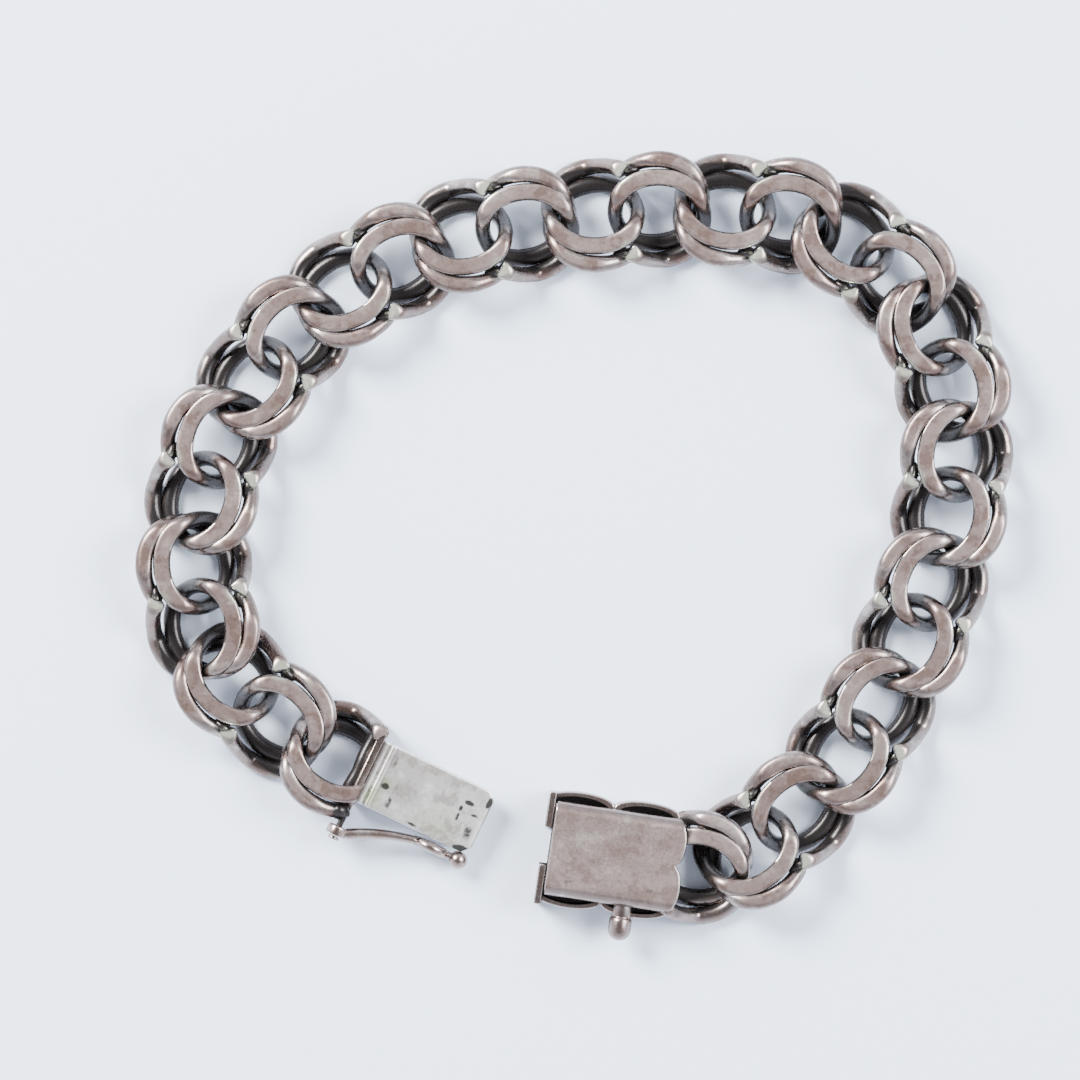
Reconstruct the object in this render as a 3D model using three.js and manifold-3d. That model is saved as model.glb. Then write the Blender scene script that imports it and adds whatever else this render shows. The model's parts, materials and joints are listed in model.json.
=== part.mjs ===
// A bismarck chain bracelet in silver, lying open in one loop, in millimetres with +Z up.
// Fourteen links, each two wire coils soldered end to end, a spring tongue with its safety
// arm on one end and the clasp box on the other.
import * as THREE from "three";
import { mergeVertices } from "three/addons/utils/BufferGeometryUtils.js";
import Module from "manifold-3d";

const wasm = await Module();
wasm.setup();

// Driving dimensions of a coil. Its x runs along the chain, y outward and z up.
const wireRadius = 0.65;
const coilHalfLength = 3.83;
const coilHalfReach = 3.13;
const coilLean = 1.57;
const coilHalfHeight = 1.74;
const coilSink = 0.2;
const coilLengthSquareness = 0.5;
const coilHeightSquareness = 2.4;
const chainThickness = 4.26;
const solderSpacing = 5.74;
const tipRise = 2.85;
const tailFall = 0.75;
const endTurn = 55;
const coilFirstAngle = 42;
const coilSteps = 11;
const wireSides = 6;

// Where each link's solder joint lies and which way it heads, clockwise from the tongue.
const linkRoute = [
  { x: -24.75, y: -13.9, heading: 139 },
  { x: -29.7, y: -4.9, heading: 98 },
  { x: -28.7, y: 6.1, heading: 73.5 },
  { x: -23.25, y: 15.85, heading: 51 },
  { x: -14.65, y: 23, heading: 28 },
  { x: -4, y: 26.95, heading: 10.5 },
  { x: 7.5, y: 28.5, heading: 5 },
  { x: 18.95, y: 28.45, heading: -5 },
  { x: 28.95, y: 24.5, heading: -37 },
  { x: 35.05, y: 15.9, heading: -72.5 },
  { x: 35.9, y: 4.85, heading: -97.5 },
  { x: 33.15, y: -6.3, heading: -110 },
  { x: 27.95, y: -16.55, heading: -123.5 },
  { x: 20.4, y: -25.2, heading: -138.5 },
];

// The two ends of the clasp: the middle of each end plate, and the way it faces.
const tongueEnd = { x: -15.31, y: -20.4, heading: -25.9 };
const boxEnd = { x: 0.15, y: -26.71, heading: -8.5 };
const tongueCoil = { x: -2.87, y: 0.2, heading: 180 };
const boxCoil = { x: 13.88, y: 0.28, heading: 181.5 };

// End plates, tongue and its slot. In both clasp frames x points out of the tongue and into
// the box, and y points to the wrist.
const plateThickness = 0.65;
const plateWristReach = 4.96;
const plateOuterReach = 4.87;
const plateHeight = 3.9;
const tonguePlateOuterReach = 2.6;
const tongueLength = 11.22;
const tongueWristEdge = 3.48;
const tongueOuterEdge = 2.39;
const tongueCorner = 0.75;
const tongueTipEase = 0.15;
const tongueSheet = 0.35;
const tongueFloor = -0.55;
const tongueRise = 1.25;
const tongueTabWristEdge = 2.2;
const tongueTabOuterEdge = 1.2;
const slotClearance = 0.1;
const ridgeHeight = 0.25;
const ridgeWidth = 0.45;
const ridgeSlope = 0.09;
const ridgeStep = 0.75;

// Hinge pin, safety arm and the post that the arm snaps over.
const pinRadius = 0.25;
const pinHeight = 0.5;
const pinEnd = 6.2;
const pinHeadRadius = 0.5;
const pinHeadThickness = 0.25;
const eyeClearance = 0.09;
const eyeRadius = 0.78;
const eyeWidth = 0.7;
const eyeSideGap = 0.08;
const armRadius = 0.38;
const armLoopRadius = 1.3;
const armLoopReach = 8.04;
const armSideOffset = 3.15;
const armBallRadius = 0.81;
const armBallReach = 10.66;
const armRestAngle = 6.4;
const armBend = [
  { along: 0, inward: 0 },
  { along: 0.22, inward: 0.31 },
  { along: 0.54, inward: 0.67 },
  { along: 0.76, inward: 0.84 },
  { along: 1, inward: 1 },
];
const postRadius = 0.78;
const postKnobRadius = 1;
const postKnobStart = 5.05;
const postKnobLength = 1;
const knobSteps = 5;

// Clasp box. Its side walls bulge in lobes as the chain's edge does, two to a side.
const boxLength = 12.38;
const boxWristEdge = 4;
const boxOuterEdge = 3.74;
const boxSheet = 0.6;
const boxWall = 0.4;
const boxEdgeRound = 0.65;
const boxEdgeDrop = 0.45;
const edgeSteps = 3;
const boxEndDip = 0.83;
const boxMouthGap = 0.3;
const mouthThickness = 0.4;
const mouthNotchWristEdge = 1.83;
const mouthNotchOuterEdge = 1.39;
const mouthClearance = 0.15;
const mouthHeight = 2.1;
const lobeWall = 0.38;
const lobeTop = 0.9;
const lobeLength = 5.75;
const lobeDepth = 0.85;
const lobeWristEdge = 4.37;
const lobeOuterEdge = 4.05;
const lobeSteps = 8;

const degrees = THREE.MathUtils.degToRad;

// Geometry and solids: a solid is made from a closed geometry, joined or cut, and turned back.
function solidOf(geometry) {
  const plain = geometry.clone();
  plain.deleteAttribute("normal");
  plain.deleteAttribute("uv");
  const merged = mergeVertices(plain, 1e-5);
  return new wasm.Manifold(new wasm.Mesh({
    numProp: 3,
    vertProperties: new Float32Array(merged.attributes.position.array),
    triVerts: new Uint32Array(merged.index.array),
  }));
}

function geometryOf(solid) {
  const mesh = solid.getMesh();
  const geometry = new THREE.BufferGeometry();
  geometry.setAttribute("position", new THREE.BufferAttribute(new Float32Array(mesh.vertProperties), 3));
  geometry.setIndex(new THREE.BufferAttribute(new Uint32Array(mesh.triVerts), 1));
  return geometry;
}

function joined(geometries) {
  return geometries.map(solidOf).reduce((whole, piece) => whole.add(piece));
}

function block(xMin, xMax, yMin, yMax, zMin, zMax) {
  return new THREE.BoxGeometry(xMax - xMin, yMax - yMin, zMax - zMin)
    .translate((xMin + xMax) / 2, (yMin + yMax) / 2, (zMin + zMax) / 2);
}

// A shape of (x, y) points raised from z = 0 to its thickness.
function slab(points, thickness) {
  const shape = new THREE.Shape(points.map(([x, y]) => new THREE.Vector2(x, y)));
  return new THREE.ExtrudeGeometry(shape, { depth: thickness, bevelEnabled: false });
}

// A round wire of the given number of sides along any curve.
function wire(path, radius, sides, steps) {
  const section = new THREE.Shape();
  for (let side = 0; side < sides; side += 1) {
    const angle = (side / sides) * Math.PI * 2;
    const point = [radius * Math.cos(angle), radius * Math.sin(angle)];
    if (side === 0) section.moveTo(...point);
    else section.lineTo(...point);
  }
  section.closePath();
  return new THREE.ExtrudeGeometry(section, { steps, extrudePath: path, bevelEnabled: false });
}

// A turned shape about the y axis, from [radius, y] points that start and end on the axis
// or close on themselves.
function turned(profile, sides) {
  return new THREE.LatheGeometry(profile.map(([radius, y]) => new THREE.Vector2(radius, y)), sides);
}

// The coil's centre line. Both cross-sections are squarish: the wire runs flat along the top
// and the bottom and turns over steeply at the sides. Its first end climbs to the top, over the
// other coil's last end, which dips a little to meet it.
class CoilPath extends THREE.Curve {
  constructor(firstAngle, lastAngle) {
    super();
    this.firstAngle = firstAngle;
    this.lastAngle = lastAngle;
  }

  at(angle, target) {
    const turn = (360 - angle) / 360;
    const cosine = Math.cos(degrees(angle));
    const sine = Math.sin(degrees(angle));
    const squareX = Math.tanh(coilLengthSquareness * cosine) / Math.tanh(coilLengthSquareness);
    const squareZ = Math.tanh(coilHeightSquareness * sine) / Math.tanh(coilHeightSquareness);
    const rise = tipRise * this.endShare(angle) - tailFall * this.endShare(720 - angle);
    return target.set(
      coilHalfLength * squareX,
      coilHalfReach * sine + coilLean * turn,
      coilSink * turn - coilHalfHeight * squareZ + rise,
    );
  }

  endShare(angle) {
    return THREE.MathUtils.smoothstep(coilFirstAngle + endTurn - angle, 0, endTurn);
  }

  getPoint(share, target = new THREE.Vector3()) {
    return this.at(THREE.MathUtils.lerp(this.firstAngle, this.lastAngle, share), target);
  }

  // The wire's section keeps one side towards the coil's own axis, so two stretches that
  // share an end share its section too.
  computeFrenetFrames(steps) {
    const coilAxis = new THREE.Vector3(0, coilHalfHeight, coilHalfReach).normalize();
    const frames = { tangents: [], normals: [], binormals: [] };
    for (let step = 0; step <= steps; step += 1) {
      const share = this.getUtoTmapping(step / steps);
      const angle = THREE.MathUtils.lerp(this.firstAngle, this.lastAngle, share);
      const ahead = this.at(angle + 0.5, new THREE.Vector3());
      const tangent = ahead.sub(this.at(angle - 0.5, new THREE.Vector3())).normalize();
      const normal = coilAxis.clone().addScaledVector(tangent, -coilAxis.dot(tangent)).normalize();
      frames.tangents.push(tangent);
      frames.normals.push(normal);
      frames.binormals.push(new THREE.Vector3().crossVectors(tangent, normal));
    }
    return frames;
  }
}

// Half a coil, with its top and bottom rolled flat to the chain's thickness.
function halfCoil(firstAngle, lastAngle) {
  const geometry = wire(new CoilPath(firstAngle, lastAngle), wireRadius, wireSides, coilSteps);
  const position = geometry.attributes.position;
  for (let index = 0; index < position.count; index += 1) {
    const z = THREE.MathUtils.clamp(position.getZ(index), -chainThickness / 2, chainThickness / 2);
    position.setZ(index, z);
  }
  return geometry;
}

// A coil is two halves that meet at its middle, turned to its heading and moved to its place.
function coilHalves(x, y, heading) {
  const halves = [halfCoil(coilFirstAngle, 360), halfCoil(360, 720 - coilFirstAngle)];
  return halves.map((half) => half.rotateZ(degrees(heading)).translate(x, y, 0));
}

// A link: one coil, and the same coil turned half round, soldered where their ends meet.
function linkGeometry() {
  const first = coilHalves(-solderSpacing / 2, 0, 0);
  const second = coilHalves(solderSpacing / 2, 0, 180);
  return geometryOf(joined([...first, ...second]));
}

// The end coil of the chain, cut off square at its end plate.
function endCoil(place, turnedRound, cutMin, cutMax) {
  const heading = place.heading + (turnedRound ? 180 : 0);
  const coil = joined(coilHalves(place.x, place.y, heading));
  const reach = 2 * plateWristReach;
  return coil.intersect(solidOf(block(cutMin, cutMax, -reach, reach, -reach, reach)));
}

// The upright plate at the tongue's end, slotted for the tongue's tab, with the last coil
// and the hinge pin soldered on.
function tongueEndGeometry() {
  const half = plateThickness / 2;
  const plate = block(
    -half, half,
    -tonguePlateOuterReach, plateWristReach,
    -plateHeight / 2, plateHeight / 2,
  );
  const slot = block(
    -plateThickness, plateThickness,
    -tongueTabOuterEdge - slotClearance, tongueTabWristEdge + slotClearance,
    tongueFloor - slotClearance, tongueFloor + tongueSheet + slotClearance,
  );
  const pinTip = -pinEnd;
  const headInner = pinTip + pinHeadThickness;
  const pin = turned([
    [0, pinTip],
    [pinHeadRadius, pinTip],
    [pinHeadRadius, headInner],
    [pinRadius, headInner],
    [pinRadius, -tonguePlateOuterReach + half],
    [0, -tonguePlateOuterReach + half],
  ], 10).translate(0, 0, pinHeight);
  const coil = endCoil(tongueCoil, true, -2 * coilHalfLength - coilHalfReach, 0);
  return geometryOf(joined([plate, pin]).add(coil).subtract(solidOf(slot)));
}

// The tongue: one folded strip, its lower leaf fixed in the plate and its upper leaf springing
// up from the fold at the tip to two grip ridges beside the plate.
function tongueGeometry() {
  const gap = plateThickness / 2 + slotClearance;
  const root = -plateThickness / 2;
  const floorTop = tongueFloor + tongueSheet;
  const fold = tongueLength - tongueSheet;
  const leafSlope = (tongueRise - floorTop - tongueSheet) / (fold - ridgeStep);
  const leafTop = (x) => floorTop + tongueSheet + (fold - x) * leafSlope;
  const ridges = [1, 0].flatMap((number) => {
    const start = gap + number * ridgeStep;
    return [
      [start + ridgeWidth, leafTop(start + ridgeWidth)],
      [start + ridgeWidth - ridgeSlope, leafTop(start) + ridgeHeight],
      [start + ridgeSlope, leafTop(start) + ridgeHeight],
      [start, leafTop(start)],
    ];
  });
  const side = slab([
    [root, tongueFloor],
    [tongueLength - tongueSheet / 2, tongueFloor],
    [tongueLength, tongueFloor + tongueSheet / 2],
    [tongueLength, floorTop + tongueSheet / 2],
    [tongueLength - tongueSheet / 2, leafTop(tongueLength - tongueSheet / 2)],
    ...ridges,
    [gap, leafTop(gap) - tongueSheet],
    [fold, floorTop],
    [root, floorTop],
  ], tongueWristEdge + tongueOuterEdge);
  side.rotateX(Math.PI / 2).translate(0, tongueWristEdge, 0);
  const plan = slab([
    [root, -tongueTabOuterEdge],
    [gap, -tongueTabOuterEdge],
    [gap, -tongueOuterEdge],
    [tongueLength - tongueCorner, -tongueOuterEdge + tongueTipEase],
    [tongueLength, -tongueOuterEdge + tongueCorner],
    [tongueLength, tongueWristEdge - tongueCorner],
    [tongueLength - tongueCorner, tongueWristEdge - tongueTipEase],
    [gap, tongueWristEdge],
    [gap, tongueTabWristEdge],
    [root, tongueTabWristEdge],
  ], plateHeight).translate(0, 0, -plateHeight / 2);
  return geometryOf(solidOf(side).intersect(solidOf(plan)));
}

// The safety arm about its own pin: an eye, a shank that leans in beside the tongue, the loop
// that snaps over the post, and a ball to lift it by.
function armGeometry() {
  const bore = pinRadius + eyeClearance;
  const eyeOuter = -pinEnd + pinHeadThickness + eyeSideGap;
  const eyeInner = eyeOuter + eyeWidth;
  const eyeMiddle = (eyeOuter + eyeInner) / 2;
  const eye = turned([
    [bore, eyeOuter],
    [eyeRadius, eyeOuter],
    [eyeRadius, eyeInner],
    [bore, eyeInner],
    [bore, eyeOuter],
  ], 12);
  const loopStart = armLoopReach - armLoopRadius;
  const shankPath = new THREE.CatmullRomCurve3(armBend.map(({ along, inward }) => new THREE.Vector3(
    THREE.MathUtils.lerp(eyeRadius - armRadius / 2, loopStart, along),
    THREE.MathUtils.lerp(eyeMiddle, -armSideOffset, inward),
    0,
  )));
  const shank = wire(shankPath, armRadius, 8, 6);
  const loop = new THREE.TorusGeometry(armLoopRadius, armRadius, 8, 14)
    .rotateX(Math.PI / 2)
    .translate(armLoopReach, -armSideOffset, 0);
  const neckPath = new THREE.LineCurve3(
    new THREE.Vector3(armLoopReach + armLoopRadius, -armSideOffset, 0),
    new THREE.Vector3(armBallReach, -armSideOffset, 0),
  );
  const neck = wire(neckPath, armRadius, 8, 1);
  const ball = new THREE.SphereGeometry(armBallRadius, 12, 8)
    .translate(armBallReach, -armSideOffset, 0);
  return geometryOf(joined([eye, shank, loop, neck, ball]));
}

// The box's plan with its lobes, drawn in by the given inset.
function lobedPlan(inset, zMin, zMax) {
  const xStart = inset;
  const xEnd = 2 * lobeLength - inset;
  const radius = lobeLength / 2 - inset;
  const yOuter = -lobeOuterEdge + inset;
  const yWrist = lobeWristEdge - inset;
  const shape = new THREE.Shape();
  shape.moveTo(xStart, yOuter);
  for (const lobe of [0, 1]) {
    const middle = lobeLength * (lobe + 0.5);
    shape.lineTo(middle - radius, yOuter);
    shape.absellipse(middle, yOuter, radius, lobeDepth, Math.PI, 2 * Math.PI, false);
  }
  shape.lineTo(xEnd, yWrist);
  for (const lobe of [1, 0]) {
    const middle = lobeLength * (lobe + 0.5);
    shape.lineTo(middle + radius, yWrist);
    shape.absellipse(middle, yWrist, radius, lobeDepth, 0, Math.PI, false);
  }
  shape.closePath();
  const settings = { depth: zMax - zMin, bevelEnabled: false, curveSegments: lobeSteps };
  return new THREE.ExtrudeGeometry(shape, settings).translate(0, 0, zMin);
}

// The top sheet's plan: a straight edge at the mouth and two shallow bulges over the chain.
function topPlan() {
  const middle = (boxWristEdge - boxOuterEdge) / 2;
  const dipStart = boxLength - boxEndDip;
  const halfBulge = (boxWristEdge + boxOuterEdge) / 4;
  const shape = new THREE.Shape();
  shape.moveTo(mouthThickness + boxMouthGap, -boxOuterEdge);
  shape.lineTo(dipStart, -boxOuterEdge);
  shape.absellipse(dipStart, middle - halfBulge, boxEndDip, halfBulge, -Math.PI / 2, Math.PI / 2, false);
  shape.absellipse(dipStart, middle + halfBulge, boxEndDip, halfBulge, -Math.PI / 2, Math.PI / 2, false);
  shape.lineTo(mouthThickness + boxMouthGap, boxWristEdge);
  shape.closePath();
  const settings = { depth: chainThickness, bevelEnabled: false, curveSegments: lobeSteps };
  return new THREE.ExtrudeGeometry(shape, settings).translate(0, 0, -chainThickness / 2);
}

// The top sheet's cross-section, with its long edges rounded over, carried along the box.
function topSheet() {
  const outer = chainThickness / 2;
  const inner = outer - boxSheet;
  const shape = new THREE.Shape();
  shape.moveTo(-boxOuterEdge, inner);
  shape.lineTo(boxWristEdge, inner);
  shape.lineTo(boxWristEdge, outer - boxEdgeDrop);
  shape.quadraticCurveTo(boxWristEdge, outer, boxWristEdge - boxEdgeRound, outer);
  shape.lineTo(-boxOuterEdge + boxEdgeRound, outer);
  shape.quadraticCurveTo(-boxOuterEdge, outer, -boxOuterEdge, outer - boxEdgeDrop);
  shape.closePath();
  const settings = { depth: boxLength, bevelEnabled: false, curveSegments: edgeSteps };
  const section = new THREE.ExtrudeGeometry(shape, settings);
  // The section's first axis becomes y, its second z, and its depth x.
  section.applyMatrix4(new THREE.Matrix4().set(
    0, 0, 1, 0,
    1, 0, 0, 0,
    0, 1, 0, 0,
    0, 0, 0, 1,
  ));
  return solidOf(section).intersect(solidOf(topPlan()));
}

// The post on the box's outer side: a neck, and a knob with a round end.
function postGeometry() {
  const root = -tongueOuterEdge - mouthClearance - boxWall / 2;
  const roundStart = -postKnobStart - postKnobLength;
  const profile = [
    [0, root],
    [postRadius, root],
    [postRadius, -postKnobStart],
    [postKnobRadius, -postKnobStart],
  ];
  for (let step = 0; step < knobSteps; step += 1) {
    const angle = (step / knobSteps) * (Math.PI / 2);
    profile.push([postKnobRadius * Math.cos(angle), roundStart - postKnobRadius * Math.sin(angle)]);
  }
  profile.push([0, roundStart - postKnobRadius]);
  return turned(profile.reverse(), 12).translate(armLoopReach - plateThickness / 2, 0, pinHeight);
}

function boxGeometry() {
  const half = chainThickness / 2;
  const wallTop = half - boxSheet / 2;
  const dipStart = boxLength - boxEndDip;
  const wayOuter = -tongueOuterEdge - mouthClearance;
  const wayWrist = tongueWristEdge + mouthClearance;
  const tray = solidOf(lobedPlan(0, -half, lobeTop))
    .subtract(solidOf(lobedPlan(lobeWall, -half + boxSheet, half)));
  const mouth = block(0, mouthThickness, -plateOuterReach, plateWristReach, -half, plateHeight / 2);
  const endOuter = -boxOuterEdge + boxWall;
  const endWrist = boxWristEdge - boxWall;
  const walls = [
    block(0, dipStart, wayOuter - boxWall, wayOuter, -wallTop, wallTop),
    block(0, dipStart, wayWrist, wayWrist + boxWall, -wallTop, wallTop),
    block(dipStart - boxWall, dipStart, endOuter, endWrist, -wallTop, wallTop),
  ];
  const coilEnd = boxCoil.x + coilHalfLength + coilHalfReach;
  const coil = endCoil(boxCoil, false, dipStart - boxWall / 2, coilEnd);
  const tongueWay = block(
    -mouthThickness, 2 * mouthThickness,
    wayOuter, wayWrist,
    -mouthHeight / 2, mouthHeight / 2,
  );
  const inside = block(
    mouthThickness, dipStart - boxWall,
    wayOuter, wayWrist,
    -half + boxSheet, half - boxSheet,
  );
  const notch = block(
    -mouthThickness, mouthThickness,
    -mouthNotchOuterEdge, mouthNotchWristEdge,
    -plateHeight, plateHeight,
  );
  return geometryOf(
    tray.add(joined([mouth, ...walls, postGeometry()])).add(topSheet()).add(coil)
      .subtract(joined([tongueWay, inside, notch])),
  );
}

// The finishes: dark worn silver on the chain and box, paler silver on the tongue and arm.
const chainSilver = new THREE.MeshStandardMaterial({ color: 0x8f857c, roughness: 0.38, metalness: 0.95 });
const boxSilver = new THREE.MeshStandardMaterial({ color: 0x9a8f85, roughness: 0.36, metalness: 0.95 });
const tongueSilver = new THREE.MeshStandardMaterial({ color: 0xc4c3bd, roughness: 0.42, metalness: 0.9 });
const armSilver = new THREE.MeshStandardMaterial({ color: 0xa8a199, roughness: 0.3, metalness: 0.95 });

function piece(name, geometry, material) {
  const mesh = new THREE.Mesh(geometry, material);
  mesh.name = name;
  return mesh;
}

function placed(place, ...children) {
  const group = new THREE.Group();
  group.position.set(place.x, place.y, 0);
  group.rotation.z = degrees(place.heading);
  group.add(...children);
  return group;
}

const bracelet = new THREE.Group();

const link = linkGeometry();
linkRoute.forEach((place, index) => {
  const name = `link_${String(index + 1).padStart(2, "0")}`;
  bracelet.add(placed(place, piece(name, link, chainSilver)));
});

const arm = piece("safety_arm", armGeometry(), armSilver);
arm.position.z = pinHeight;
arm.rotation.y = degrees(armRestAngle);
bracelet.add(placed(
  tongueEnd,
  piece("tongue_end", tongueEndGeometry(), chainSilver),
  piece("spring_tongue", tongueGeometry(), tongueSilver),
  arm,
));
bracelet.add(placed(boxEnd, piece("clasp_box", boxGeometry(), boxSilver)));

// The origin is at the middle of the bracelet, on the surface that it lies on.
bracelet.updateMatrixWorld(true);
const bounds = new THREE.Box3().setFromObject(bracelet, true);
const middle = bounds.getCenter(new THREE.Vector3());
bracelet.position.set(-middle.x, -middle.y, -bounds.min.z);

export default bracelet;
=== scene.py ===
# %% [markdown]
# # A bismarck chain bracelet, lying open
# The bracelet is a silver chain of paired wire coils. Each link is two coils soldered end to
# end, and each coil is threaded through the next link's. The chain is rolled flat, so the tops of
# the wires are matt facets and the rest of each wire stays round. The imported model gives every
# piece its place, and the looks are built over it here, in metres.

# %% Load the frame
import json
import math

import bmesh
import bpy
import numpy as np
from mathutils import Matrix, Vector


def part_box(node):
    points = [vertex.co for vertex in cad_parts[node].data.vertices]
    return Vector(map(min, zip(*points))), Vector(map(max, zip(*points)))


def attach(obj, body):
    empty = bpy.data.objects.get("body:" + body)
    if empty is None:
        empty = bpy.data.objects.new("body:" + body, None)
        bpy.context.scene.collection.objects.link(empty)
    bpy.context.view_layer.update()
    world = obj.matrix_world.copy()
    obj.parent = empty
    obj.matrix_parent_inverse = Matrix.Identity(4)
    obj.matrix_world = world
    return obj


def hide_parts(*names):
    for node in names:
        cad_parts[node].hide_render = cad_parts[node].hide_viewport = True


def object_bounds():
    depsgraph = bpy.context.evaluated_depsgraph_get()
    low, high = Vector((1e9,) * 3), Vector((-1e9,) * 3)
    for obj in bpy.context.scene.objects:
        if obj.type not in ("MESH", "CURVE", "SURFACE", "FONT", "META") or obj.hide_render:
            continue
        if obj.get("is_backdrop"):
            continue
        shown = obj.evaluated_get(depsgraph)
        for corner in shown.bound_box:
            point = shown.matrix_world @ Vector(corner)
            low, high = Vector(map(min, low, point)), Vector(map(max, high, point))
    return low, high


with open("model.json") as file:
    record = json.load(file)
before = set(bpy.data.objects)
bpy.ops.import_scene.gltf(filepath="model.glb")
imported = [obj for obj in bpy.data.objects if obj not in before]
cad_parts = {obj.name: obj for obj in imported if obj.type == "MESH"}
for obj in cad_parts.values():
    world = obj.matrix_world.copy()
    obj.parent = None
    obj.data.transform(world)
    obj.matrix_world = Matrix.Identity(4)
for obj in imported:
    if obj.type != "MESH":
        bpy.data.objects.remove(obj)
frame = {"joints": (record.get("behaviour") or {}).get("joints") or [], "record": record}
cad_low, cad_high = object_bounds()
MM = 0.001
FACE = cad_high.z / 2 / MM
print("CAD box in mm:", [round(v / MM, 2) for v in (*cad_low, *cad_high)])

# %% [markdown]
# ## The coil's centre line
# All sizes below are in millimetres and become metres when a mesh is made. A round spring would be
# x = cos, z = sin. This coil is squarish: a hyperbolic tangent holds it near the top and the bottom
# and lets it turn over steeply at the sides. It winds for a little less than two turns and leans
# outward as it goes. Its first end climbs to the top face, over its twin's last end.

# %% The coil's sizes and line
WIRE_RADIUS = 0.68
COIL_HALF_LENGTH = 3.83
COIL_HALF_REACH = 3.13
COIL_LEAN = 1.57
COIL_HALF_HEIGHT = 1.74
COIL_SINK = 0.2
LENGTH_SQUARENESS = 0.5
HEIGHT_SQUARENESS = 2.4
SOLDER_SPACING = 5.74
TIP_RISE = 3.4
TAIL_FALL = 1.2
END_TURN = 55.0
FIRST_ANGLE = 42.0


def smoothstep(value):
    """0 below 0, 1 above 1, and the cubic 3v^2 - 2v^3 between."""
    value = np.clip(value, 0.0, 1.0)
    return value * value * (3 - 2 * value)


def coil_line(angle):
    """x = L tanh(k cos a) / tanh k, y = R sin a + lean, z = sink - H tanh(q sin a) / tanh q + rise."""
    turn = (360 - angle) / 360
    cosine, sine = np.cos(np.radians(angle)), np.sin(np.radians(angle))
    rise = TIP_RISE * smoothstep((FIRST_ANGLE + END_TURN - angle) / END_TURN)
    fall = TAIL_FALL * smoothstep((FIRST_ANGLE + END_TURN - (720 - angle)) / END_TURN)
    x = COIL_HALF_LENGTH * np.tanh(LENGTH_SQUARENESS * cosine) / math.tanh(LENGTH_SQUARENESS)
    y = COIL_HALF_REACH * sine + COIL_LEAN * turn
    z = -COIL_HALF_HEIGHT * np.tanh(HEIGHT_SQUARENESS * sine) / math.tanh(HEIGHT_SQUARENESS)
    return np.stack([x, y, z + COIL_SINK * turn + rise - fall], axis=-1)


# %% [markdown]
# ## Grids into meshes
# Every new shape here is a grid of points: a wire has one row for each step along it and one column
# for each direction round it. The faces join each point to the next in both directions, and a fan
# or one flat face closes each end.

# %% Grids into meshes
def unit(vectors):
    """Each vector divided by its length."""
    return vectors / np.maximum(np.linalg.norm(vectors, axis=-1, keepdims=True), 1e-12)


def made_mesh(name, vertices, faces):
    """A mesh object from millimetre points, with its faces turned outward."""
    mesh = bpy.data.meshes.new(name)
    mesh.from_pydata((np.asarray(vertices) * MM).tolist(), [], faces)
    shell = bmesh.new()
    shell.from_mesh(mesh)
    bmesh.ops.recalc_face_normals(shell, faces=shell.faces)
    shell.to_mesh(mesh)
    shell.free()
    made = bpy.data.objects.new(name, mesh)
    bpy.context.scene.collection.objects.link(made)
    return made


def grid_faces(index, wrap_rows=False, wrap_columns=True):
    """Quads between neighbouring points of an index grid."""
    lower = index if wrap_rows else index[:-1]
    upper = np.roll(index, -1, axis=0) if wrap_rows else index[1:]
    quads = np.stack([lower, np.roll(lower, -1, axis=1), np.roll(upper, -1, axis=1), upper], axis=-1)
    return (quads if wrap_columns else quads[:, :-1]).reshape(-1, 4).tolist()


def ring_object(name, points, wrap_rows=False, fans=True):
    """points[row, column, 3], closed round each row; the rows wrap too, or end in fans or flat faces."""
    rows, columns = points.shape[:2]
    index = np.arange(rows * columns).reshape(rows, columns)
    vertices = points.reshape(-1, 3)
    faces = grid_faces(index, wrap_rows)
    if not wrap_rows and fans:
        ends = np.array([points[0].mean(axis=0), points[-1].mean(axis=0)])
        for end, rim in enumerate((index[0], index[-1])):
            centre = np.full(columns, len(vertices) + end)
            faces += np.stack([centre, rim, np.roll(rim, -1)], axis=-1).tolist()
        vertices = np.concatenate([vertices, ends])
    elif not wrap_rows:
        faces += [index[0].tolist(), index[-1].tolist()]
    return made_mesh(name, vertices, faces)


def tube_points(line, radius, around, reference, flatten=1.0):
    """Circles square to the line: each starts toward the reference, and flatten stretches it that way."""
    tangent = unit(np.gradient(line, axis=0))
    side = unit(reference - (tangent * reference).sum(-1, keepdims=True) * tangent)
    other = np.cross(tangent, side)
    turn = np.linspace(0, 2 * math.pi, around, endpoint=False)[None, :, None]
    radius = np.broadcast_to(np.asarray(radius, float).reshape(-1, 1, 1), (len(line), 1, 1))
    circle = flatten * np.cos(turn) * side[:, None] + np.sin(turn) * other[:, None]
    return line[:, None] + radius * circle


def turned(points, degrees):
    """Points turned anticlockwise about z."""
    c, s = math.cos(math.radians(degrees)), math.sin(math.radians(degrees))
    return points @ np.array([[c, s, 0], [-s, c, 0], [0, 0, 1]])


def blob(name, centre, radii, rows=14, columns=20):
    """An ellipsoid: centre + radii * (sin p cos q, sin p sin q, cos p)."""
    p = np.linspace(0.12, math.pi - 0.12, rows)[:, None]
    q = np.linspace(0, 2 * math.pi, columns, endpoint=False)[None]
    ball = np.stack([np.sin(p) * np.cos(q), np.sin(p) * np.sin(q), np.cos(p) + 0 * q], axis=-1)
    return ring_object(name, np.array(centre) + np.array(radii) * ball)


# %% [markdown]
# ## Rolling the chain flat
# Rolling presses every crest to the same height, and the metal that is pressed down spreads
# sideways. A soft minimum does the pressing: far below the face a point stays where it was, and
# near it the point is eased onto the face, which leaves a narrow rounded edge round each facet.

# %% Rolling and joining
ROLL_SOFTNESS = 0.03
SPREAD = 0.12
SPREAD_START = 1.1
SPREAD_DEPTH = 0.6


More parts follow.
